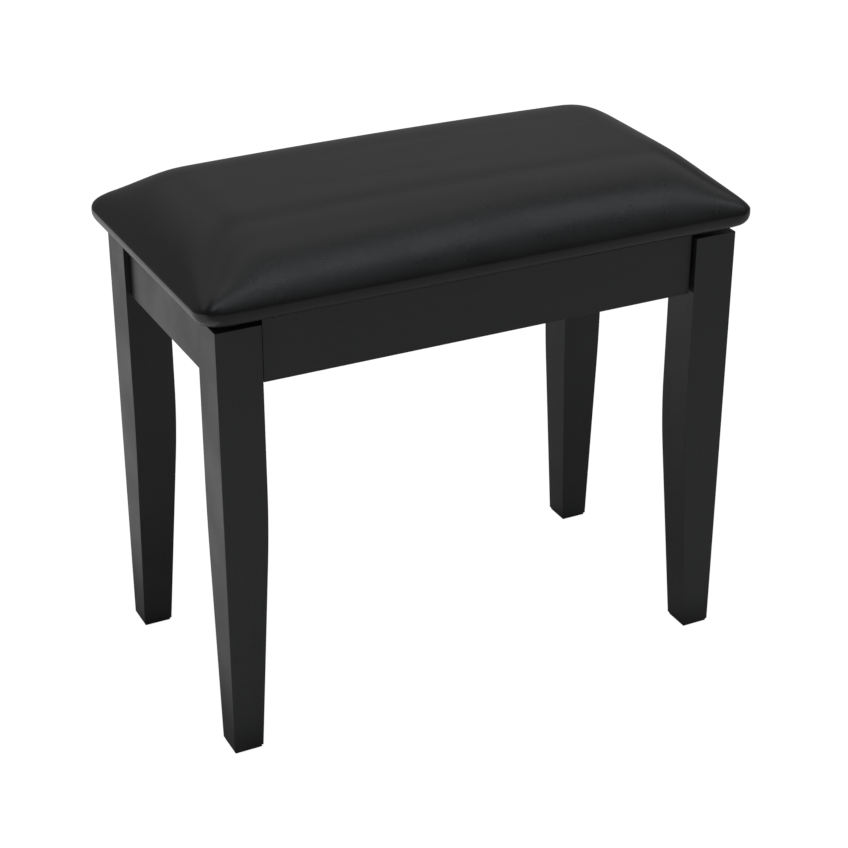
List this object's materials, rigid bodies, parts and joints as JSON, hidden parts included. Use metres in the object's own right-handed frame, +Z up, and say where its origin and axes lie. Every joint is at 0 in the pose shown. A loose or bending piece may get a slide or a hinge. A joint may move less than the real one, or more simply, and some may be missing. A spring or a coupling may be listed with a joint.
{
  "type": "piano bench",
  "caption": "Backless fixed-height piano bench: crowned black leatherette seat on a low apron frame with square legs that taper inside.",
  "frame": {"origin": "on the floor, under the middle of the seat", "axes": "+X along the bench to the sitter's right as seen from the front, +Y from the front to the back, +Z up"},
  "size_m": [0.5392, 0.2956, 0.4912],
  "materials": {
    "black_paint": "satin",
    "leatherette": "satin",
    "foam": "matte",
    "plywood": "matte",
    "beech": "matte",
    "dust_cloth": "matte",
    "zinc_steel": "satin",
    "nylon": "matte"
  },
  "bodies": {
    "root": {"seat_cover": "leatherette", "seat_foam": "foam", "seat_board": "plywood", "dust_cover": "dust_cloth", "front_apron": "black_paint", "right_apron": "black_paint", "rear_apron": "black_paint", "left_apron": "black_paint", "leg_front_left": "black_paint", "corner_block_front_left": "beech", "hanger_bolt_front_left": "zinc_steel", "bolt_washer_front_left": "zinc_steel", "wing_nut_front_left": "zinc_steel", "block_screw_a_front_left": "zinc_steel", "block_screw_b_front_left": "zinc_steel", "seat_screw_front_left": "zinc_steel", "glide_front_left": "nylon", "glide_nail_front_left": "zinc_steel", "leg_front_right": "black_paint", "corner_block_front_right": "beech", "hanger_bolt_front_right": "zinc_steel", "bolt_washer_front_right": "zinc_steel", "wing_nut_front_right": "zinc_steel", "block_screw_a_front_right": "zinc_steel", "block_screw_b_front_right": "zinc_steel", "seat_screw_front_right": "zinc_steel", "glide_front_right": "nylon", "glide_nail_front_right": "zinc_steel", "leg_rear_right": "black_paint", "corner_block_rear_right": "beech", "hanger_bolt_rear_right": "zinc_steel", "bolt_washer_rear_right": "zinc_steel", "wing_nut_rear_right": "zinc_steel", "block_screw_a_rear_right": "zinc_steel", "block_screw_b_rear_right": "zinc_steel", "seat_screw_rear_right": "zinc_steel", "glide_rear_right": "nylon", "glide_nail_rear_right": "zinc_steel", "leg_rear_left": "black_paint", "corner_block_rear_left": "beech", "hanger_bolt_rear_left": "zinc_steel", "bolt_washer_rear_left": "zinc_steel", "wing_nut_rear_left": "zinc_steel", "block_screw_a_rear_left": "zinc_steel", "block_screw_b_rear_left": "zinc_steel", "seat_screw_rear_left": "zinc_steel", "glide_rear_left": "nylon", "glide_nail_rear_left": "zinc_steel"}
  },
  "joints": []
}
